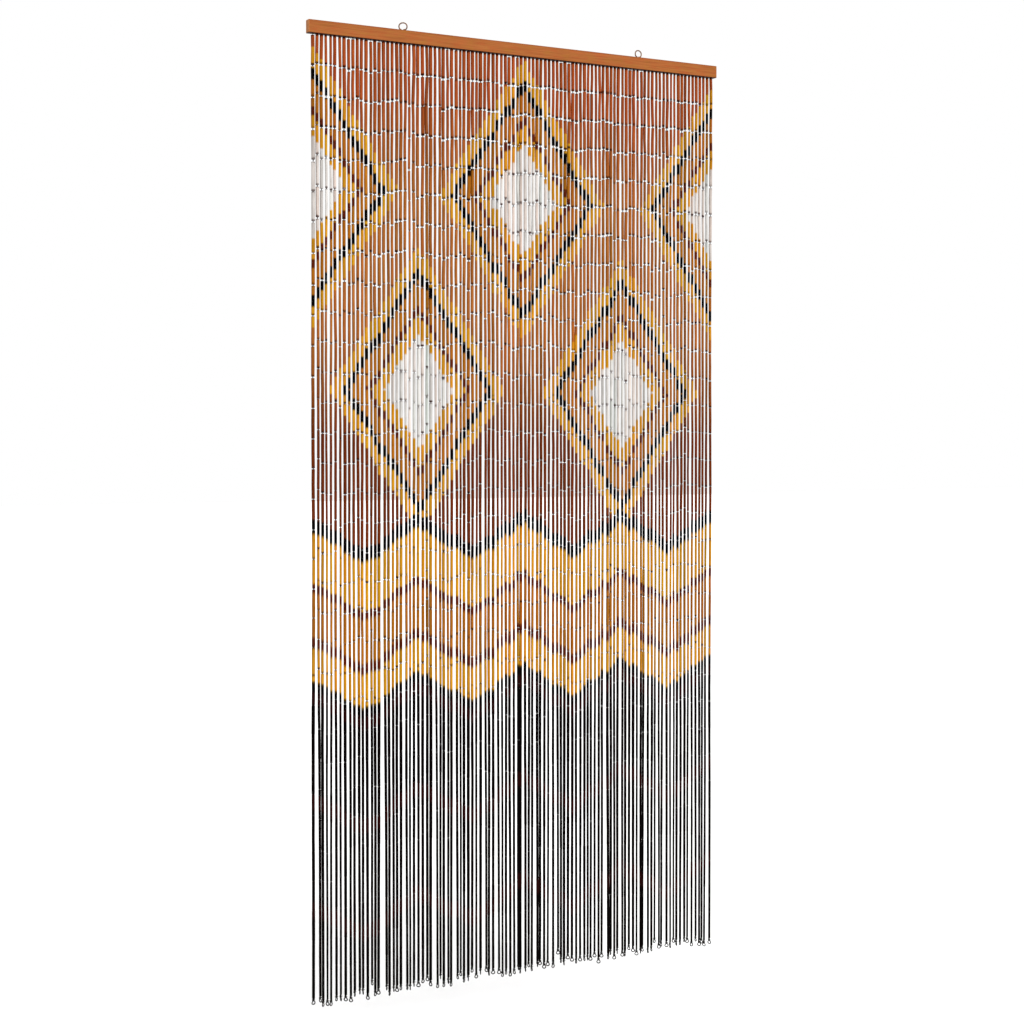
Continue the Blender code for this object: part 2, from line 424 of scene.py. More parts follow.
def screw_eye(x, turn):
    """One screw eye: straight up its shank, then round the ring.

    The ring's point at angle b is (half width * sin(b), -half height * cos(b)) from its centre, in
    the upright plane that the turn gives. In the lower half sin and cos are raised to the power 2 /
    squareness, which bends the ring flatter along the rail. The shank's radius falls by half the
    thread's depth times one minus the sine of (angle round the wire - 2 * pi * height / pitch), and
    over the tip's length it falls evenly, down to the tip's share.
    """
    half_width, half_height = (EYE_OUTER_WIDTH - EYE_WIRE) / 2, (EYE_OUTER_HEIGHT - EYE_WIRE) / 2
    centre = EYE_STANDS_OFF + EYE_WIRE / 2 + half_height
    shank = np.linspace(-EYE_SHANK_DEPTH, EYE_STANDS_OFF - SHANK_STOPS_SHORT, SHANK_STEPS)
    bend = EYE_END_GAP / 4 + (2 * np.pi - EYE_END_GAP) * np.linspace(0, 1, EYE_STEPS)
    power = np.where(np.cos(bend) > 0, 2 / EYE_SQUARENESS, 1.0)
    ring_side = np.sign(np.sin(bend)) * np.abs(np.sin(bend)) ** power
    ring_down = np.sign(np.cos(bend)) * np.abs(np.cos(bend)) ** power
    sideways = np.concatenate([np.zeros(len(shank)), half_width * ring_side])
    height = np.concatenate([shank, centre - half_height * ring_down])
    out = np.array([math.cos(turn), math.sin(turn), 0.0])
    path = np.array([x, 0.0, 0.0]) + sideways[:, None] * out
    path[:, 2] += height
    side = np.broadcast_to(np.array([math.sin(turn), -math.cos(turn), 0.0]), path.shape)
    angle = 2 * np.pi * np.arange(EYE_SIDES) / EYE_SIDES
    groove = (1 - np.sin(angle - 2 * np.pi * height[:, None] / THREAD_PITCH)) / 2
    cut = THREAD_DEPTH * groove * (height < THREAD_STOPS)[:, None]
    tip = np.clip((height + EYE_SHANK_DEPTH) / TIP_LENGTH, TIP_SHARE, 1.0)[:, None]
    return wires(path[None], side[None], (tip * (EYE_WIRE / 2 - cut))[None], EYE_SIDES)


for side_name, (x, turn) in EYES.items():
    node_name = f"screw_eye_{side_name}"
    eye = make_piece(
        f"{node_name}_wire", *screw_eye(x, turn), (1, 1), eye_steel, "steel_wire", [node_name]
    )

# %% [markdown]
# ## How the strands hang
#
# The strands start about evenly along the rail. On their way down each swings a little to its own
# side, to the front or to the back. Their feet end within about a centimetre of level, but for four
# short strands, because the tubes are cut by hand. These are the numbers and the random seeds of
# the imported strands, so the chains follow their rods. The feet are pushed apart until no two
# neighbours are closer than their tubes are thick.

# %% Roots and feet
STRANDS = 100
STRAND_PITCH = 0.00987
FOOT_Z = -1.998
ROOT_SEED = 23
ROOT_JITTER = 0.00035
ROOT_JITTER_LIMIT = 0.0008
SWAY_SEED = 65
SIDE_SWAY = 0.0021
DEPTH_SWAY = 0.0013
SWAY_LIMIT = 0.0048
SWAY_POWER = 1.8
FOOT_CLEARANCE = 0.0068
EASING_ROUNDS = 40
FOOT_JITTER = 0.0055
FOOT_JITTER_LIMIT = 0.0100
SHORT_STRANDS = {13: 0.020, 37: 0.014, 58: 0.024, 84: 0.016}

off_even = np.random.default_rng(ROOT_SEED).normal(0.0, ROOT_JITTER, STRANDS)
root_x = (np.arange(STRANDS) - (STRANDS - 1) / 2) * STRAND_PITCH
root_x += off_even.clip(-ROOT_JITTER_LIMIT, ROOT_JITTER_LIMIT)


def strand_feet():
    """Each foot's x, y and z: the roots with a random swing, and neighbours eased apart."""
    random = np.random.default_rng(SWAY_SEED)
    swing = random.normal(0.0, (SIDE_SWAY, DEPTH_SWAY), (STRANDS, 2))
    feet = np.clip(swing, -SWAY_LIMIT, SWAY_LIMIT)
    feet[:, 0] += root_x
    for _ in range(EASING_ROUNDS):
        for left, right in zip(feet, feet[1:]):
            apart = right - left
            distance = math.hypot(*apart)
            if distance < FOOT_CLEARANCE:
                push = apart / distance * (FOOT_CLEARANCE - distance) / 2
                left -= push
                right += push
    drop = random.normal(0.0, FOOT_JITTER, STRANDS).clip(-FOOT_JITTER_LIMIT, FOOT_JITTER_LIMIT)
    for strand, shorter_by in SHORT_STRANDS.items():
        drop[strand] = shorter_by
    return np.column_stack([feet, FOOT_Z + drop])


feet = strand_feet()
strands_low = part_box("strands")[0]
print("lowest foot", round(feet[:, 2].min(), 5), "packed", round(strands_low.z, 5))


def on_strand(z):
    """Where each strand is at its heights z, given as (strands, places).

    The swing to the foot grows as the share hung, raised to a power.
    """
    hung = ((-RAIL_HEIGHT - z) / (-RAIL_HEIGHT - feet[:, 2:])).clip(0.0, 1.0) ** SWAY_POWER
    x = root_x[:, None] + hung * (feet[:, :1] - root_x[:, None])
    return np.stack([x, hung * feet[:, 1:2], z], -1)


# %% [markdown]
# ## Cutting the tubes
#
# A strand has 32 tubes of about 59 mm, with gaps of about 3 mm at the top and half a millimetre at
# the foot. A maker cuts them from bamboo as it comes, so lengths differ, some strands are thick and
# some thin, and the thin ends of the bamboo hang at the bottom. Each joint also sits a little off
# the strand's line, which gives the chains their slight kinks, and each strand drifts in a slow
# wave. The kinks are largest at the top and fade downwards, as in the photograph. Where two thick
# neighbours would touch, both give way.

# %% Joints and tube ends
TUBES = 32
TUBE_GAPS = ((0.0, 0.0029), (0.3, 0.0017), (0.45, 0.0010), (1.0, 0.0005))
GAP_SPREAD = 0.50
GAP_LIMITS = (0.0004, 0.0048)
HOOK_BELOW_RAIL = 0.0010
FIRST_GAP = (0.0007, 0.0042)
FIRST_GAP_POWER = 6
LAST_HOOK = 0.0008
LAST_TUBE_ABOVE_FOOT = 0.0138
MEAN_LENGTH = 0.059
LENGTH_SPREAD = 0.0014
LENGTH_LIMIT = 0.06
KINK = 0.00050
KINK_LIMIT = 2.2
KINK_FADES_OVER = 0.75
WANDER = 0.0005
WANDER_LENGTHS = (0.70, 1.30)
WANDER_STARTS_OVER = 0.1
WANDER_ENDS_OVER = 0.5
TUBE_SEED = 7

random = np.random.default_rng(TUBE_SEED)
length = random.normal(0.0, LENGTH_SPREAD / MEAN_LENGTH, (STRANDS, TUBES))
length = 1 + length.clip(-LENGTH_LIMIT, LENGTH_LIMIT)
mean_gap = np.interp(np.linspace(0, 1, TUBES - 1), *zip(*TUBE_GAPS))
gap = mean_gap * random.normal(1.0, GAP_SPREAD, (STRANDS, TUBES - 1))
gap = gap.clip(*GAP_LIMITS)
mostly_close = random.uniform(0.0, 1.0, STRANDS) ** FIRST_GAP_POWER
first_top = -RAIL_HEIGHT - FIRST_GAP[0] - mostly_close * (FIRST_GAP[1] - FIRST_GAP[0])
room = first_top - feet[:, 2] - LAST_TUBE_ABOVE_FOOT - gap.sum(1)
length *= (room / length.sum(1))[:, None]
foot_z = first_top[:, None] - np.cumsum(length, axis=1)
foot_z[:, 1:] -= np.cumsum(gap, axis=1)
first_hook = -RAIL_HEIGHT - HOOK_BELOW_RAIL - first_top
half_gap = np.column_stack([first_hook, gap / 2, np.full(STRANDS, LAST_HOOK)])
joint_z = np.column_stack([first_top + first_hook, foot_z - half_gap[:, 1:]])
joints = on_strand(joint_z)
depth = (-RAIL_HEIGHT - joint_z)[..., None]
kink = KINK * np.exp(-depth[:, 1:-1] / KINK_FADES_OVER)
off_line = random.normal(0.0, 1.0, (STRANDS, TUBES - 1, 2))
joints[:, 1:-1, :2] += kink * off_line.clip(-KINK_LIMIT, KINK_LIMIT)

wave_length = random.uniform(*WANDER_LENGTHS, (STRANDS, 1, 2))
wave_start = random.uniform(0.0, 2 * np.pi, (STRANDS, 1, 2))
above_foot = (joint_z - feet[:, 2:])[..., None]
fade = (depth / WANDER_STARTS_OVER).clip(0.0, 1.0) * (above_foot / WANDER_ENDS_OVER).clip(0.0, 1.0)
joints[..., :2] += WANDER * fade * np.sin(2 * np.pi * depth / wave_length + wave_start)
down = unit(joints[:, 1:] - joints[:, :-1])
tube_top = joints[:, :-1] + down * half_gap[:, :-1, None]
tube_foot = joints[:, 1:] - down * half_gap[:, 1:, None]
print("tubes are %.1f to %.1f mm long" % (length.min() * 1000, length.max() * 1000))

# %% Thickness, from the photograph's rows
THICKNESS_AT = ((-2.0, 0.0054), (-1.48, 0.0061), (-0.98, 0.0060), (-0.48, 0.0064), (-0.03, 0.0071))
THICKNESS_ACROSS = ((-0.5, 1.0), (0.0, 1.03), (0.33, 0.915), (0.5, 0.90))
STRAND_SPREAD = 0.11
STRAND_LIMITS = (0.80, 1.20)
TUBE_SPREAD = (0.055, 0.010)
CHANCE_LIMIT = 2
GIVING_WAY_ROUNDS = 4
THINNEST = 0.0044
NEIGHBOUR_GAP = 0.0007


def fading(spread):
    """A chance number for each tube, whose spread falls evenly from its first value to its last."""
    chance = random.normal(0.0, 1.0, (STRANDS, TUBES)).clip(-CHANCE_LIMIT, CHANCE_LIMIT)
    return np.linspace(*spread, TUBES) * chance


middle = (tube_top + tube_foot) / 2
heights, diameters = zip(*THICKNESS_AT)
thick = np.interp(middle[..., 2], heights, diameters)
thick = thick * np.interp(middle[..., 0], *zip(*THICKNESS_ACROSS))
thick = thick * random.normal(1.0, STRAND_SPREAD, (STRANDS, 1)).clip(*STRAND_LIMITS)
thick = thick * (1 + fading(TUBE_SPREAD))
ends_apart = [np.linalg.norm(np.diff(end[..., :2], axis=0), axis=-1) for end in (tube_top, tube_foot)]
apart = np.minimum(*ends_apart) - NEIGHBOUR_GAP
for _ in range(GIVING_WAY_ROUNDS):
    touching = (2 * apart / (thick[:-1] + thick[1:])).clip(max=1.0)
    thick[:-1] *= touching
    thick[1:] *= touching
thick = thick.clip(min=THINNEST)
closest = (apart + NEIGHBOUR_GAP - (thick[:-1] + thick[1:]) / 2).min()
print("tubes are %.1f to %.1f mm thick" % (thick.min() * 1000, thick.max() * 1000))
print("closest neighbours are %.2f mm apart" % (closest * 1000))

# %% [markdown]
# ## The shape of a tube
#
# A tube is a wall, two cut ends and a bore. Its profile is a closed line of seven points: down the
# outside, in across the cut, up the bore and out again. The line goes round the tube in eight
# steps, so the skin closes both ways and no cap is needed. The middle of the wall bows a little,
# as bamboo does. Eight steps are few, but there are 3200 tubes of six millimetres.

# %% Tube surfaces
TUBE_SIDES = 8
EDGE_ROUND = 0.00014
BORE = 0.00166
BORE_SHARE = 0.60
BOW = (0.00030, 0.00008)
TAPER = (0.040, 0.006)
BELLY_SPREAD = 0.012
PROFILE_LEVELS = (0.0, 0.07, 0.10, 0.47, 0.84, 0.87, 0.94, 1.0)
CUT_SHARE = (1.0, 0.6, 0.0, 0.0, 0.0, 0.6, 1.0)


def tube_points():
    """Points of all tubes, (strands, tubes, 7 * 8, 3): circles square to each tube's own line.

    Along the line they lie at 0, 0, edge, half, length - edge, length, length, and their radii are
    bore, wall - edge, wall, wall, wall, wall - edge, bore, where the wall tapers from end to end
    and is a little thicker or thinner half way.
    """
    count = STRANDS * TUBES
    top, foot = tube_top.reshape(count, 3), tube_foot.reshape(count, 3)
    line = unit(foot - top)
    long = np.linalg.norm(foot - top, axis=-1)
    edge = np.full(count, EDGE_ROUND)
    along = np.stack([0 * long, 0 * long, edge, long / 2, long - edge, long, long], 1)
    wide = thick.reshape(count) / 2
    taper = fading(TAPER).reshape(count)
    bow = fading(BOW).reshape(count)
    upper, lower = wide * (1 + taper / 2), wide * (1 - taper / 2)
    belly = wide * random.normal(1.0, BELLY_SPREAD, count)
    bore = np.maximum(BORE, BORE_SHARE * wide)
    radius = np.stack([bore, upper - edge, upper, belly, lower, lower - edge, bore], 1)
    turned = random.uniform(0, 2 * np.pi, count)
    side = np.stack([np.cos(turned), np.sin(turned), 0 * turned], -1)
    path = top[:, None] + along[..., None] * line[:, None]
    path[:, 3] += bow[:, None] * side
    line = np.broadcast_to(line[:, None], path.shape)
    side = np.broadcast_to(side[:, None], path.shape)
    points = carried_circles(path, line, side, radius, TUBE_SIDES)
    return points.reshape(STRANDS, TUBES, -1, 3)


tubes = tube_points()
tube_faces, tube_square = grid_faces(PROFILE_LEVELS, np.linspace(0, 1, TUBE_SIDES + 1), True, True)
print("one tube has", len(tube_faces), "faces,", STRANDS * TUBES, "tubes in all")

# %% [markdown]
# ## The painted design
#
# On the real curtain someone painted the hanging strands as if they were one sheet. This one gets a
# plain geometric design in the same kind of colours: nested diamonds on burnt orange, and zigzag
# bands of gold, rust and charcoal below. Each tube remembers where it hung when it was painted, and
# each strand slips by some millimetres afterwards, which is why painted edges on such a curtain are
# jagged. Folding the sheet's width like a fan repeats one half diamond over all of it.

# %% Colours of the design
ORANGE = screen_colour(133, 62, 27)
AMBER = screen_colour(140, 83, 35)
RUST = screen_colour(90, 37, 12)
RUST_DEEP = screen_colour(76, 26, 9)
GOLD = screen_colour(166, 116, 22)
OCHRE = screen_colour(140, 84, 20)
CHALK = screen_colour(176, 172, 168)
CHARCOAL = screen_colour(4, 2, 2)
MAROON = screen_colour(30, 6, 5)
BAMBOO = screen_colour(150, 112, 68)

FOLD = 0.25
DIAMOND_HALF_WIDTH = 0.205
DIAMOND_HALF_HEIGHT = 0.300
UPPER_ROW = -0.335
LOWER_ROW = -0.745
DIAMOND_BANDS = (
    (0.40, CHALK), (0.54, GOLD), (0.60, RUST_DEEP), (0.78, OCHRE), (0.86, CHARCOAL), (1.0, GOLD),
)
DIAMOND_BLUR = 0.006
DIAMOND_RIM = (1.004, 0.996)
ZIGZAG_FOLD = 0.125
ZIGZAG_SLOPE = 0.60
ZIGZAG_TOP = -1.00
ZIGZAG_FOOT = -2.10
ZIGZAG_BANDS = (
    (-1.030, CHARCOAL), (-1.130, GOLD), (-1.150, RUST_DEEP), (-1.240, OCHRE), (-1.262, RUST_DEEP),
    (-1.330, GOLD), (-1.352, CHARCOAL), (-1.375, MAROON), (-1.560, CHARCOAL), (-1.590, MAROON),
    (-1.780, CHARCOAL), (-1.812, MAROON), (-2.100, CHARCOAL),
)
ZIGZAG_BLUR = 0.0012
ZIGZAG_RIM = (-0.998, -1.002)
FIELD_FROM_TOP = (-0.03, -1.05)


def band_stops(bands, start, end, blur):
    """Stops for a ramp from bands (where each ends, colour), each edge blurred over a short way."""
    share = [(edge - start) / (end - start) for edge, _ in bands]
    stops = [(0.0, bands[0][1])]
    for place, (_, colour), (_, following) in zip(share, bands, bands[1:]):
        stops += [(place - blur, colour), (place + blur, following)]
    return [*stops, (1.0, bands[-1][1])]


# %% The design as nodes
painted_bamboo, tree, shader = new_finish("painted_bamboo")
sheet_place = node(tree, "ShaderNodeAttribute", attribute_name="sheet_place").outputs["Vector"]
sheet_x, share_down, sheet_z = node(tree, "ShaderNodeSeparateXYZ", {0: sheet_place}).outputs
tube_look = node(tree, "ShaderNodeAttribute", attribute_name="tube_look").outputs["Vector"]
lightness, warmth, end_look = node(tree, "ShaderNodeSeparateXYZ", {0: tube_look}).outputs

folded = maths(tree, "PINGPONG", sheet_x, FOLD)
across_upper = maths(tree, "DIVIDE", folded, DIAMOND_HALF_WIDTH)
across_lower = maths(tree, "DIVIDE", maths(tree, "SUBTRACT", FOLD, folded), DIAMOND_HALF_WIDTH)


def diamond(row_z, across):
    """How far out a point lies, 1 on the rim: its share across plus its share up or down."""
    off = maths(tree, "ABSOLUTE", maths(tree, "SUBTRACT", sheet_z, row_z))
    return maths(tree, "ADD", across, maths(tree, "DIVIDE", off, DIAMOND_HALF_HEIGHT))


outness = maths(tree, "MINIMUM", diamond(UPPER_ROW, across_upper), diamond(LOWER_ROW, across_lower))
field = ramp(tree, rescaled(tree, sheet_z, *FIELD_FROM_TOP), [
    (0.0, ORANGE), (0.10, ORANGE), (0.30, AMBER), (0.58, AMBER), (0.80, RUST), (1.0, RUST),
])
nested = ramp(tree, outness, band_stops(DIAMOND_BANDS, 0.0, 1.0, DIAMOND_BLUR))
design = mixed(tree, rescaled(tree, outness, *DIAMOND_RIM), field, nested)
tooth = maths(tree, "MULTIPLY", maths(tree, "PINGPONG", sheet_x, ZIGZAG_FOLD), ZIGZAG_SLOPE)
zigzag = maths(tree, "ADD", sheet_z, tooth)
zigzag_stops = band_stops(ZIGZAG_BANDS, ZIGZAG_TOP, ZIGZAG_FOOT, ZIGZAG_BLUR)
banded = ramp(tree, rescaled(tree, zigzag, ZIGZAG_TOP, ZIGZAG_FOOT), zigzag_stops)
design = mixed(tree, rescaled(tree, zigzag, *ZIGZAG_RIM), design, banded)

# %% Brush marks and each tube's own lightness and warmth
place = node(tree, "ShaderNodeTexCoord").outputs["Object"]
fibres = noise(tree, place, (1500, 1500, 26), 4.0, 0.6)
brushed = noise(tree, place, (260, 260, 34), 3.0)
shade = rescaled(tree, lightness, 0.0, 1.0, 0.62, 1.26)
shade = maths(tree, "MULTIPLY", shade, rescaled(tree, brushed, 0.3, 0.7, 0.82, 1.14))
shade = maths(tree, "MULTIPLY", shade, rescaled(tree, fibres, 0.25, 0.75, 0.86, 1.10))
shades = node(tree, "ShaderNodeCombineColor", {0: shade, 1: shade, 2: shade}).outputs[0]
coloured = mixed(tree, 1.0, design, shades, "MULTIPLY")
reddish = mixed(tree, 1.0, coloured, (1.10, 0.84, 0.72, 1.0), "MULTIPLY")
coloured = mixed(tree, rescaled(tree, warmth, 0.35, 1.0), coloured, reddish)
greyed = mixed(tree, 1.0, coloured, (0.94, 1.04, 1.02, 1.0), "MULTIPLY")
coloured = mixed(tree, rescaled(tree, warmth, 0.30, 0.0), coloured, greyed)

# %% Darker tube ends, the rail's painted shadow on the top tubes, thin spots, flakes and the cut
RAIL_SHADOW_SPAN = (-0.0325, -0.0295)
DARK_FOOT_SPAN = (0.085, 0.045)
DARK_TOP_SPAN = (0.050, 0.015)

wander = maths(tree, "MULTIPLY", maths(tree, "SUBTRACT", brushed, 0.5), 0.07)
from_foot = maths(tree, "ADD", maths(tree, "SUBTRACT", 1.0, share_down), wander)
from_top = maths(tree, "ADD", share_down, wander)
# Each tube is darker towards its ends, the foot more than the top, by a chance amount per tube.
darker_at_foot = rescaled(tree, from_foot, *DARK_FOOT_SPAN)
darker_at_top = rescaled(tree, from_top, *DARK_TOP_SPAN, 0.0, 0.7)
darker_ends = maths(tree, "MAXIMUM", darker_at_foot, darker_at_top)
end_darkening = maths(tree, "MULTIPLY", darker_ends, rescaled(tree, end_look, 0.0, 0.5))
darkened_end_colour = mixed(tree, 1.0, coloured, (0.10, 0.05, 0.05, 1.0), "MULTIPLY")
coloured = mixed(tree, end_darkening, coloured, darkened_end_colour)
# Painted shadow: the tops of the first tubes, just under the rail, are darkened as if in the rail's
# shadow.
hanging_z = node(tree, "ShaderNodeSeparateXYZ", {0: place}).outputs["Z"]
rail_shadow_height = maths(tree, "ADD", hanging_z, maths(tree, "MULTIPLY", wander, 0.03))
rail_shadow_colour = mixed(tree, 1.0, coloured, (0.30, 0.20, 0.16, 1.0), "MULTIPLY")
coloured = mixed(tree, rescaled(tree, rail_shadow_height, *RAIL_SHADOW_SPAN), coloured, rail_shadow_colour)
thin_paint = rescaled(tree, brushed, 0.60, 0.68, 0.0, 0.6)
flaked = maths(tree, "MULTIPLY", rescaled(tree, fibres, 0.66, 0.70), thin_paint)
cut_bamboo = mixed(tree, rescaled(tree, fibres, 0.3, 0.7), BAMBOO, screen_colour(96, 66, 38))
coloured = mixed(tree, flaked, coloured, cut_bamboo)
# The cut ends darken towards the bore and the bore is painted near black: partly a real soak of paint
# on the cut, and partly painted shade inside the bore.
soaked_cut_and_bore_shade = mixed(tree, 1.0, cut_bamboo, (0.30, 0.22, 0.18, 1.0), "MULTIPLY")
coloured = mixed(tree, rescaled(tree, end_look, 0.60, 0.75), coloured, soaked_cut_and_bore_shade)
tree.links.new(coloured, shader.inputs["Base Color"])
tree.links.new(rescaled(tree, fibres, 0.2, 0.8, 0.70, 0.50), shader.inputs["Roughness"])
shader.inputs["Specular IOR Level"].default_value = 0.01
ribs = node(tree, "ShaderNodeBump", {"Height": fibres, "Strength": 0.5, "Distance": 0.00025})
tree.links.new(ribs.outputs[0], shader.inputs["Normal"])
print("the painted finish has", len(tree.nodes), "nodes")

# %% [markdown]
# ## The tubes as four pieces
#
# All tubes in one mesh would be over the size that one piece may have, so the curtain is made in
# four groups of 25 strands. Every point keeps two sets of numbers for the finish: its place on the
# painted sheet, and how light and how warm its tube is there, and how dark towards its ends and bore.

# %% Tube pieces
GROUPS = 4
GROUP_STRANDS = STRANDS // GROUPS
SLIP = 0.0045
PROFILE_SHARES = (0.0, 0.0, 0.004, 0.5, 0.996, 1.0, 1.0)
LIGHTNESS = (0.5, 0.13, 0.10)
WARMTH = (0.42, 0.17, 0.08)
END_DARKNESS = (0.34, 0.14)
END_DARKNESS_SPREAD = 0.15
END_DARKNESS_LIMITS = (0.03, 0.5)


def chance_look(mean, strand_spread, tube_spread):
    """A number from 0 to 1 for each tube: the mean, plus its strand's chance, plus its own."""
    of_strand = random.normal(0.0, strand_spread, (STRANDS, 1))
    of_tube = random.normal(0.0, tube_spread, (STRANDS, TUBES))
    return (mean + of_strand + of_tube).clip(0, 1)[..., None]


slip = random.normal(0.0, SLIP, (STRANDS, 1)).clip(-2 * SLIP, 2 * SLIP)
share = np.repeat(PROFILE_SHARES, TUBE_SIDES)
sheet_points = np.empty_like(tubes)
sheet_points[..., 0] = root_x[:, None, None]
sheet_points[..., 1] = share
sheet_points[..., 2] = tubes[..., 2] + slip[..., None]
looks = np.empty_like(tubes)
looks[..., 0] = chance_look(*LIGHTNESS)
looks[..., 1] = chance_look(*WARMTH)
end_darkness = random.normal(np.linspace(*END_DARKNESS, TUBES), END_DARKNESS_SPREAD, (STRANDS, TUBES))
end_darkness = end_darkness.clip(*END_DARKNESS_LIMITS)
looks[..., 2] = np.maximum(end_darkness[..., None], np.repeat(CUT_SHARE, TUBE_SIDES))

for group in range(GROUPS):
    picked = slice(group * GROUP_STRANDS, (group + 1) * GROUP_STRANDS)
    in_rows = (np.swapaxes(values[picked], 0, 1).reshape(TUBES * GROUP_STRANDS, -1, 3)
               for values in (tubes, sheet_points, looks))
    points, places, tints = in_rows
    piece = make_piece(
        f"bamboo_tubes_{group + 1}", points, tube_faces, tube_square, (GROUP_STRANDS, TUBES),
        painted_bamboo, "painted_bamboo", ["strands"],
    )
    point_values(piece, "sheet_place", places)
    point_values(piece, "tube_look", tints)

# %% [markdown]
# ## The wire links
#
# A wire runs through each tube, and both its ends are bent into an eye. At a joint the eye above
# and the eye below stand square to each other and are hooked together: each reaches past the
# middle of the gap by half a wire. The wire through the tube is made too, though only its eyes
# show, so each link is one real piece. The lowest eye of a strand lies inside its last tube, where
# it holds the stem of the ring at the foot.

# %% Links
LINK_WIRE = 0.0009
LINK_HALF_HEIGHT = 0.00115
LINK_HALF_WIDTH = 0.00102
LINK_HOOKED = LINK_WIRE / 2 + 0.00003
LINK_EYE_STEPS = 8
LINK_EYE_SWEEP = 2 * math.pi - 1.0
LINK_SIDES = 4
LAST_EYE_LIFT = 0.006
FIRST_TURN_SPREAD = 0.15


def level_sides(angle):
    """Level unit vectors at these angles from the x axis."""
    return np.stack([np.cos(angle), np.sin(angle), 0 * angle], -1)


def eye_curve(joint, inwards, sideways):
    """A link's eye: an ellipse from the wire's line round to a free end, as (links, steps, 3).

    Its far point is past the joint by the hooked share, and a point at angle b is the centre
    + half height * cos(b) * inwards + half width * sin(b) * sideways, with b from 0 to the sweep.
    """
    centre = joint + (LINK_HALF_HEIGHT - LINK_HOOKED) * inwards
    angle = np.linspace(0.0, LINK_EYE_SWEEP, LINK_EYE_STEPS)[None, :, None]
    return (centre[:, None] + LINK_HALF_HEIGHT * np.cos(angle) * inwards[:, None]
            + LINK_HALF_WIDTH * np.sin(angle) * sideways[:, None])


def link_wires(picked):
    """All links of the picked strands: lower eye from its free end, the wire, then the upper eye."""
    lower_joint = joints[picked, 1:].copy()
    lower_joint[:, -1] -= LAST_EYE_LIFT * down[picked, -1]
    lower_joint = lower_joint.reshape(-1, 3)
    upper_joint = joints[picked, :-1].reshape(-1, 3)
    up = unit(upper_joint - lower_joint)
    upper_out = level_sides(joint_turn[picked, :-1].reshape(-1) + np.pi / 2)
    lower_out = level_sides(joint_turn[picked, 1:].reshape(-1))
    upper_eye = eye_curve(upper_joint, -up, upper_out)
    lower_eye = eye_curve(lower_joint, up, lower_out)[:, ::-1]
    path = np.concatenate([lower_eye, upper_eye], axis=1)
    lower_side, upper_side = np.cross(up, lower_out), np.cross(-up, upper_out)
    same_way = np.where((lower_side * upper_side).sum(-1, keepdims=True) < 0, -1.0, 1.0)
    side = np.concatenate([
        np.broadcast_to(lower_side[:, None], lower_eye.shape),
        np.broadcast_to((same_way * upper_side)[:, None], upper_eye.shape),
    ], axis=1)
    return wires(path, side, np.full(path.shape[:2], LINK_WIRE / 2), LINK_SIDES)


joint_turn = random.uniform(0.0, np.pi, (STRANDS, TUBES + 1))
joint_turn[:, 0] = random.normal(0.0, FIRST_TURN_SPREAD, STRANDS)
for group in range(GROUPS):
    picked = slice(group * GROUP_STRANDS, (group + 1) * GROUP_STRANDS)
    make_piece(
        f"wire_links_{group + 1}", *link_wires(picked), (TUBES, GROUP_STRANDS),
        link_steel, "steel_wire", ["strands"],
    )

# %% [markdown]
# ## The staples under the rail
#
# Each strand's first eye hangs in a small wire staple, whose two legs are driven into the rail's
# underside. A staple is a half round at the bottom and two straight legs, narrow enough for the
# first tube to slide up round it.

# %% Staples
STAPLE_WIRE = 0.0009
STAPLE_HALF_WIDTH = 0.0009
STAPLE_DEPTH = 0.0035
STAPLE_SLACK = 0.00008
STAPLE_BEND_STEPS = 9
STAPLE_SIDES = 6

bend = np.linspace(-np.pi / 2, np.pi / 2, STAPLE_BEND_STEPS)
staple_across = np.concatenate([[-1.0], np.sin(bend), [1.0]]) * STAPLE_HALF_WIDTH
staple_out = level_sides(joint_turn[:, 0])
staple_foot = joints[:, 0, 2] - LINK_WIRE / 2 - STAPLE_SLACK
bend_top = staple_foot[:, None] + STAPLE_HALF_WIDTH * (1 - np.cos(bend))
leg_top = np.full((STRANDS, 1), -RAIL_HEIGHT + STAPLE_DEPTH)
staple_height = np.concatenate([leg_top, bend_top, leg_top], axis=1)
staple_path = np.zeros((STRANDS, len(staple_across), 3))
staple_path[..., :2] = joints[:, :1, :2] + staple_across[:, None] * staple_out[:, None, :2]
staple_path[..., 2] = staple_height
staple_side = np.broadcast_to(level_sides(joint_turn[:, 0] + np.pi / 2)[:, None], staple_path.shape)
staple_radius = np.full(staple_path.shape[:2], STAPLE_WIRE / 2)
make_piece(
    "rail_staples", *wires(staple_path, staple_side, staple_radius, STAPLE_SIDES),
    (10, 10), link_steel, "steel_wire", ["strands"],
)

# %% [markdown]
# ## The rings at the feet
#
# Below the last tube the wire makes a ring and is wound round itself in a small cone, so that
# nothing slips off. The rings are turned as chance has it. They are wider than the room between
# some neighbours, so each ring tries turns, and then narrower ovals, until it is clear of the ring
# before it and of the tubes on both sides, as real ones push each other aside.

# %% Foot rings
RING_WIRE = 0.0023
RING_HALF_WIDTH = 0.0037
RING_HALF_HEIGHT = 0.0031
RING_CENTRE = 0.00445
RING_WIDTH_SHARES = (1.0, 0.86, 0.72, 0.60)
RING_TRIES = 48
RING_CLEARANCE = 0.0002
RING_NECK = math.radians(30)
STEM_FOOT = 0.0089
STEM_TOP = 0.0180
WINDING_RADIUS = (0.00220, 0.00185)
WINDING_RISE = 0.0036
WINDING_TURNS = 1.6
WINDING_STEPS = 20
WINDING_STARTS_BELOW = 0.0002
STEM_STEPS = 2
RING_STEPS = 15
RING_SIDES = 6


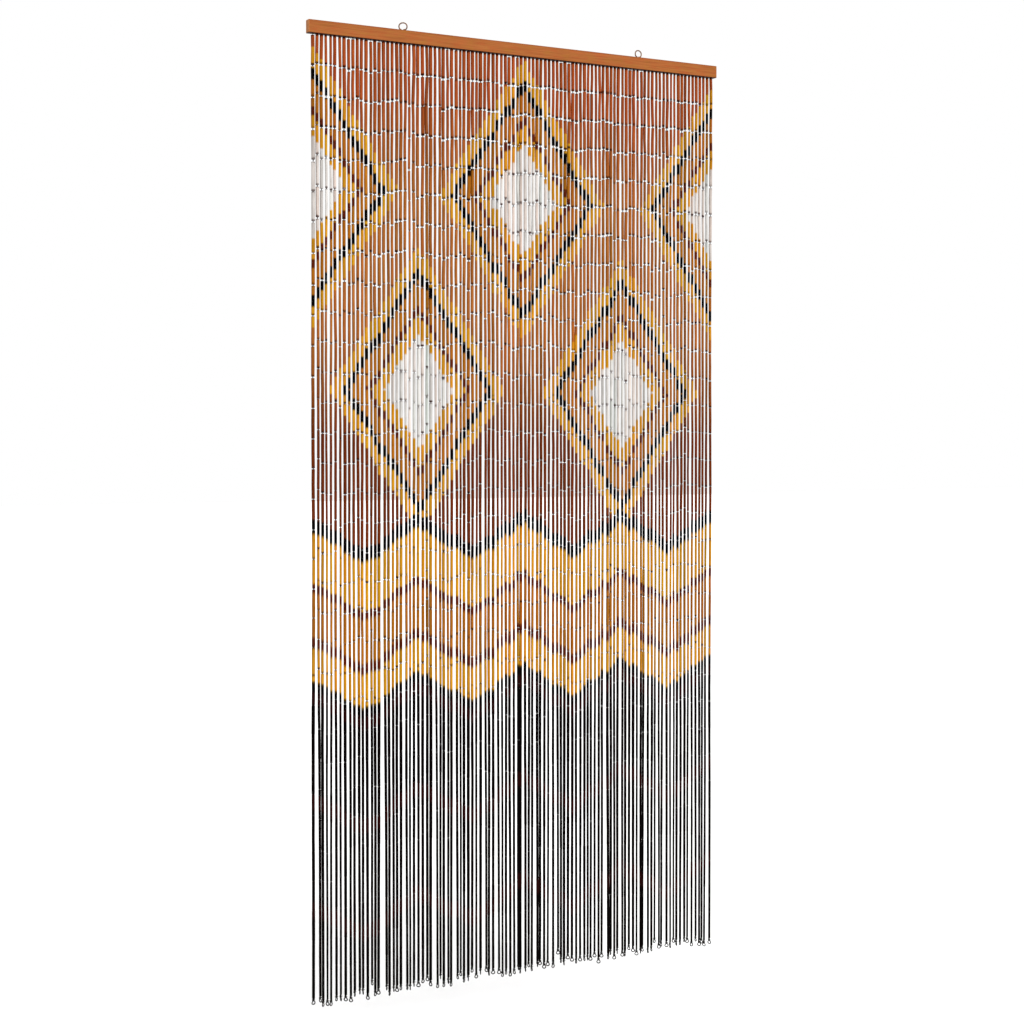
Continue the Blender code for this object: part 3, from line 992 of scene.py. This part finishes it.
def ring_curve(width_share):
    """One foot ring in its own plane, as sideways, outwards and height above the strand's foot.

    Down the stem, round an oval ring (share * half width * sin(a), half height * cos(a)) from one
    side of the neck to the other, then up round the stem: wound * (-cos(b), sin(b)), where the
    height rises and wound falls evenly with b.
    """
    round_angle = np.linspace(RING_NECK, 2 * np.pi - RING_NECK, RING_STEPS)
    winding = np.linspace(0.0, 2 * np.pi * WINDING_TURNS, WINDING_STEPS)
    wound = np.linspace(*WINDING_RADIUS, WINDING_STEPS)
    ring_side = width_share * RING_HALF_WIDTH * np.sin(round_angle)
    sideways = np.concatenate([np.zeros(STEM_STEPS), ring_side, -wound * np.cos(winding)])
    outwards = np.concatenate([np.zeros(STEM_STEPS + RING_STEPS), wound * np.sin(winding)])
    ring = RING_CENTRE + RING_HALF_HEIGHT * np.cos(round_angle)
    rise = STEM_FOOT - WINDING_STARTS_BELOW + WINDING_RISE * np.linspace(0, 1, WINDING_STEPS)
    height = np.concatenate([[STEM_TOP, STEM_FOOT], ring, rise])
    return sideways, outwards, height


def placed_ring(strand, turn, width_share):
    """The ring's path below one strand, turned about the strand."""
    sideways, outwards, height = ring_curve(width_share)
    out, front = level_sides(np.array(turn)), level_sides(np.array(turn) + np.pi / 2)
    base = np.array([*joints[strand, -1, :2], feet[strand, 2]])
    path = base + sideways[:, None] * out + outwards[:, None] * front
    path[:, 2] += height
    return path, front


def clear_of(path, other):
    """The smallest distance between two paths, from their points and the points halfway between."""
    first, second = (
        np.concatenate([line[:-1], line[:-1] + 0.5 * np.diff(line, axis=0)]) for line in (path, other)
    )
    return np.linalg.norm(first[:, None] - second[None], axis=-1).min()


def room_beside(path, neighbour):
    """The smallest room between a ring and a neighbour's last tube, or the cone of its winding.

    The neighbour is taken as a round column: no column beside its ring, then the cone's greatest
    radius, then the tube's. The room is the level distance to its axis less both radii.
    """
    if not 0 <= neighbour < STRANDS:
        return 1.0
    above = path[:, 2] - feet[neighbour, 2]
    cone = WINDING_RADIUS[0] + RING_WIRE / 2
    column = np.where(above > LAST_TUBE_ABOVE_FOOT, thick[neighbour, -1] / 2, cone)
    away = np.linalg.norm(path[:, :2] - joints[neighbour, -1, :2], axis=-1) - column - RING_WIRE / 2
    return np.where(above < STEM_FOOT - RING_WIRE, 1.0, away).min()


def ring_room(strand, path, placed):
    """The smallest room round a ring: to the ring before it, and to the columns on both sides."""
    ring = path[:-WINDING_STEPS]
    room = clear_of(path, placed[-1]) - RING_WIRE if placed else 1.0
    return min(room, room_beside(ring, strand - 1), room_beside(ring, strand + 1))


ring_paths, ring_sides = [], []
for strand in range(STRANDS):
    turns = random.uniform(0.0, np.pi, RING_TRIES)
    tries = [placed_ring(strand, turn, share) for share in RING_WIDTH_SHARES for turn in turns]
    rooms = [ring_room(strand, path, ring_paths) for path, _ in tries]
    clear = [n for n, room in enumerate(rooms) if room > RING_CLEARANCE]
    best = clear[0] if clear else int(np.argmax(rooms))
    ring_paths.append(tries[best][0])
    ring_sides.append(np.broadcast_to(tries[best][1], tries[best][0].shape))
ring_path, ring_side = np.stack(ring_paths), np.stack(ring_sides)
tightest = [clear_of(a, b) - RING_WIRE for a, b in zip(ring_path, ring_path[1:])]
beside = [
    min(room_beside(path[:-WINDING_STEPS], n + side) for side in (-1, 1))
    for n, path in enumerate(ring_path)
]
print("closest foot rings are %.2f mm apart" % (min(tightest) * 1000))
print("closest foot ring and tube are %.2f mm apart" % (min(beside) * 1000))
ring_radius = np.full(ring_path.shape[:2], RING_WIRE / 2)
make_piece(
    "foot_rings", *wires(ring_path, ring_side, ring_radius, RING_SIDES),
    (10, 10), ring_steel, "steel_wire", ["strands"],
)

# %% [markdown]
# ## Floor and light
#
# The photograph is a cut-out on white. A broad soft light from the upper right, a bright sky all
# round and a pale floor a little below the rings come close to it.

# %% Studio
FLOOR_Z = -2.10
FLOOR_HALF = 30.0

floor_finish, tree, shader = new_finish("pale_floor")
floor_place = node(tree, "ShaderNodeTexCoord").outputs["Object"]
cloudy = noise(tree, floor_place, (1.5, 1.5, 1.5))
floor_colour = mixed(tree, cloudy, (0.95, 0.95, 0.95, 1.0), (0.97, 0.97, 0.97, 1.0))
tree.links.new(floor_colour, shader.inputs["Base Color"])
shader.inputs["Roughness"].default_value = 0.9
corners = [(x * FLOOR_HALF, y * FLOOR_HALF, FLOOR_Z) for x, y in ((-1, -1), (1, -1), (1, 1), (-1, 1))]
floor_mesh = bpy.data.meshes.new("floor")
floor_mesh.from_pydata(corners, [], [(0, 1, 2, 3)])
floor_mesh.materials.append(floor_finish)
floor = bpy.data.objects.new("floor", floor_mesh)
bpy.context.scene.collection.objects.link(floor)

sky = bpy.data.worlds.new("studio_sky")
sky.use_nodes = True
sky.node_tree.nodes["Background"].inputs["Color"].default_value = (1.0, 1.0, 1.0, 1.0)
sky.node_tree.nodes["Background"].inputs["Strength"].default_value = 1.0
bpy.context.scene.world = sky

KEY_STRENGTH = 2.8
key = bpy.data.lights.new("soft_key", "SUN")
key.energy = KEY_STRENGTH
key.angle = math.radians(30)
key_light = bpy.data.objects.new("soft_key", key)
key_light.rotation_euler = (math.radians(56), 0.0, math.radians(16))
bpy.context.scene.collection.objects.link(key_light)
bpy.context.scene.view_settings.view_transform = "Standard"
print("floor at", FLOOR_Z, "lowest foot at", round(feet[:, 2].min(), 4))
